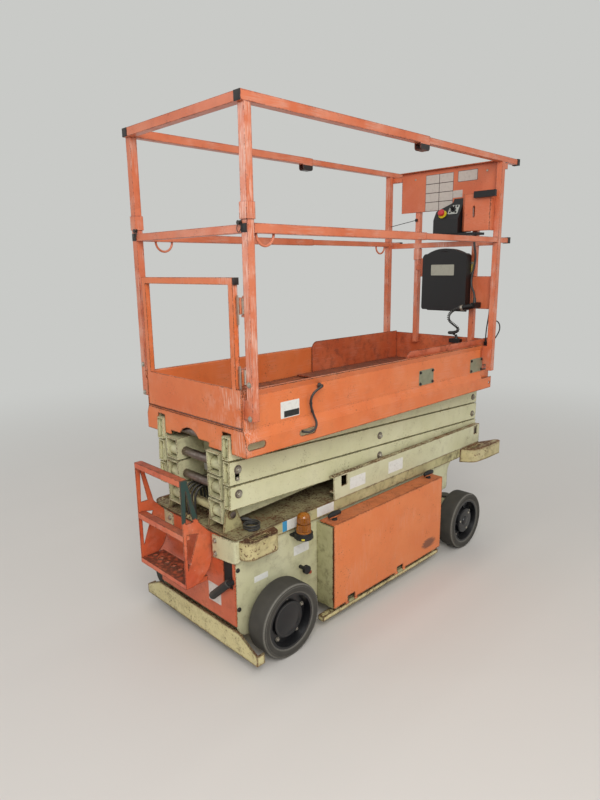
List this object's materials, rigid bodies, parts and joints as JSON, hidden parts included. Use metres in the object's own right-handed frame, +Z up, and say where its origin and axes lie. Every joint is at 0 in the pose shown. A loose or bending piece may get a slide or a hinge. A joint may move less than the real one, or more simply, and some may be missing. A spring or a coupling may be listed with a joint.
{
  "type": "electric scissor lift",
  "caption": "Compact electric scissor lift with crossed-arm stack, railed platform, roll-out deck, rear gate and ladder, drop-down side covers and steered front wheels.",
  "frame": {"origin": "on the floor, under the centre of the machine's overall box", "axes": "+X runs forward to the end with the controls, +Y to the left side, +Z up"},
  "size_m": [2.16, 0.82, 2.176],
  "materials": {
    "orange_paint": "worn gloss",
    "cream_paint": "worn satin",
    "tyre_rubber": "dusty",
    "hub_paint": "satin",
    "bare_steel": "turned",
    "black_steel": "satin",
    "black_plastic": "matte",
    "amber_plastic": "clear ribbed",
    "roller_nylon": "moulded",
    "battery_case": "moulded",
    "cable_jacket": "extruded",
    "hose_rubber": "extruded"
  },
  "bodies": {
    "chassis": {"chassis_frame": "cream_paint", "chassis_deck": "cream_paint", "slide_rails": "cream_paint", "base_pivot": "cream_paint", "trays": "cream_paint", "tray_contents": "battery_case", "rear_panel": "orange_paint", "ladder": "orange_paint", "pothole_guards": "cream_paint", "tie_downs": "cream_paint", "chassis_fittings": "black_plastic", "beacon_lens": "amber_plastic", "axles": "cream_paint", "stack_hoses": "hose_rubber", "deck_cable": "cable_jacket"},
    "left_cover": {"cover_left": "orange_paint"},
    "right_cover": {"cover_right": "orange_paint"},
    "left_knuckle": {"knuckle_left": "black_steel"},
    "right_knuckle": {"knuckle_right": "black_steel"},
    "steering_link": {"track_rod": "black_steel"},
    "rear_left_wheel": {"tyre_rear_left": "tyre_rubber", "hub_rear_left": "hub_paint"},
    "rear_right_wheel": {"tyre_rear_right": "tyre_rubber", "hub_rear_right": "hub_paint"},
    "front_left_wheel": {"tyre_front_left": "tyre_rubber", "hub_front_left": "hub_paint"},
    "front_right_wheel": {"tyre_front_right": "tyre_rubber", "hub_front_right": "hub_paint"},
    "inner_frame_1": {"inner_arms_1": "cream_paint"},
    "outer_frame_1": {"outer_arms_1": "cream_paint", "arm_pins_1": "bare_steel", "base_rollers": "roller_nylon"},
    "inner_frame_2": {"inner_arms_2": "cream_paint"},
    "outer_frame_2": {"outer_arms_2": "cream_paint", "arm_pins_2": "bare_steel"},
    "inner_frame_3": {"inner_arms_3": "cream_paint", "top_rollers": "roller_nylon"},
    "outer_frame_3": {"outer_arms_3": "cream_paint", "arm_pins_3": "bare_steel"},
    "lift_barrel": {"cylinder_barrel": "black_steel"},
    "lift_rod": {"cylinder_rod": "bare_steel"},
    "platform": {"platform_deck": "orange_paint", "platform_channels": "cream_paint", "rear_posts": "orange_paint", "top_rails": "orange_paint", "mid_rails": "orange_paint", "side_cable": "cable_jacket"},
    "entry_gate": {"gate": "orange_paint"},
    "extension": {"roll_out_deck": "orange_paint", "sliding_rails": "orange_paint", "front_frame": "orange_paint", "front_panel": "orange_paint", "control_guard": "orange_paint", "control_box": "black_plastic", "manual_box": "black_plastic", "control_lead": "cable_jacket", "curly_cord": "cable_jacket", "corner_drop": "cable_jacket", "corner_loop": "cable_jacket", "lanyard": "cable_jacket"}
  },
  "joints": [
    {"name": "lift", "type": "hinge", "parent": "chassis", "child": "inner_frame_1", "pos_m": [-0.89, 0, 0.624], "axis": [0, -1, 0], "range_deg": [0, 62]},
    {"name": "level_1_centre", "type": "hinge", "parent": "inner_frame_1", "child": "outer_frame_1", "pos_m": [0.0175, 0, 0.675], "axis": [0, -1, 0], "range_deg": [-124, 0]},
    {"name": "level_2_rear", "type": "hinge", "parent": "outer_frame_1", "child": "inner_frame_2", "pos_m": [-0.89, 0, 0.726], "axis": [0, -1, 0], "range_deg": [0, 124]},
    {"name": "level_2_centre", "type": "hinge", "parent": "inner_frame_2", "child": "outer_frame_2", "pos_m": [0.0175, 0, 0.777], "axis": [0, -1, 0], "range_deg": [-124, 0]},
    {"name": "level_3_rear", "type": "hinge", "parent": "outer_frame_2", "child": "inner_frame_3", "pos_m": [-0.89, 0, 0.828], "axis": [0, -1, 0], "range_deg": [0, 124]},
    {"name": "level_3_centre", "type": "hinge", "parent": "inner_frame_3", "child": "outer_frame_3", "pos_m": [0.0175, 0, 0.879], "axis": [0, -1, 0], "range_deg": [-124, 0]},
    {"name": "platform_pivot", "type": "hinge", "parent": "outer_frame_3", "child": "platform", "pos_m": [-0.89, 0, 0.93], "axis": [0, -1, 0], "range_deg": [0, 62]},
    {"name": "barrel_pivot", "type": "hinge", "parent": "inner_frame_1", "child": "lift_barrel", "pos_m": [0.35915, 0, 0.67417], "axis": [0, -1, 0], "range_deg": [-126.4, 0]},
    {"name": "rod_slide", "type": "slide", "parent": "lift_barrel", "child": "lift_rod", "axis": [-0.9895, 0, 0.1449], "range_m": [0, 0.3755]},
    {"name": "steer_left", "type": "hinge", "parent": "chassis", "child": "left_knuckle", "pos_m": [0.6485, 0.255, 0.1615], "axis": [0, 0, 1], "range_deg": [-60, 60]},
    {"name": "steer_right", "type": "hinge", "parent": "chassis", "child": "right_knuckle", "pos_m": [0.6485, -0.255, 0.1615], "axis": [0, 0, 1], "range_deg": [-60, 60]},
    {"name": "link_pivot", "type": "hinge", "parent": "left_knuckle", "child": "steering_link", "pos_m": [0.7585, 0.255, 0.138], "axis": [0, 0, 1], "range_deg": [-60, 60]},
    {"name": "rear_left_spin", "type": "hinge", "parent": "chassis", "child": "rear_left_wheel", "pos_m": [-0.7485, 0.355, 0.1615], "axis": [0, 1, 0], "continuous": true},
    {"name": "rear_right_spin", "type": "hinge", "parent": "chassis", "child": "rear_right_wheel", "pos_m": [-0.7485, -0.355, 0.1615], "axis": [0, 1, 0], "continuous": true},
    {"name": "front_left_spin", "type": "hinge", "parent": "left_knuckle", "child": "front_left_wheel", "pos_m": [0.6485, 0.355, 0.1615], "axis": [0, 1, 0], "continuous": true},
    {"name": "front_right_spin", "type": "hinge", "parent": "right_knuckle", "child": "front_right_wheel", "pos_m": [0.6485, -0.355, 0.1615], "axis": [0, 1, 0], "continuous": true},
    {"name": "left_cover_hinge", "type": "hinge", "parent": "chassis", "child": "left_cover", "pos_m": [-0.035, 0.384, 0.08], "axis": [-1, 0, 0], "range_deg": [0, 90]},
    {"name": "right_cover_hinge", "type": "hinge", "parent": "chassis", "child": "right_cover", "pos_m": [-0.035, -0.384, 0.08], "axis": [1, 0, 0], "range_deg": [0, 90]},
    {"name": "gate_hinge", "type": "hinge", "parent": "platform", "child": "entry_gate", "pos_m": [-0.901, -0.336, 1.3], "axis": [0, 0, -1], "range_deg": [0, 90]},
    {"name": "deck_slide", "type": "slide", "parent": "platform", "child": "extension", "axis": [1, 0, 0], "range_m": [0, 0.8]}
  ],
  "couplings": [
    {"joint": "level_1_centre", "follows": "lift", "ratio": -2},
    {"joint": "level_2_rear", "follows": "lift", "ratio": 2},
    {"joint": "level_2_centre", "follows": "lift", "ratio": -2},
    {"joint": "level_3_rear", "follows": "lift", "ratio": 2},
    {"joint": "level_3_centre", "follows": "lift", "ratio": -2},
    {"joint": "platform_pivot", "follows": "lift", "ratio": 1},
    {"joint": "barrel_pivot", "follows": "lift", "ratio": -2.0314},
    {"joint": "rod_slide", "follows": "lift", "m_per_rad": 0.34606},
    {"joint": "steer_right", "follows": "steer_left", "ratio": 1},
    {"joint": "link_pivot", "follows": "steer_left", "ratio": -1}
  ]
}
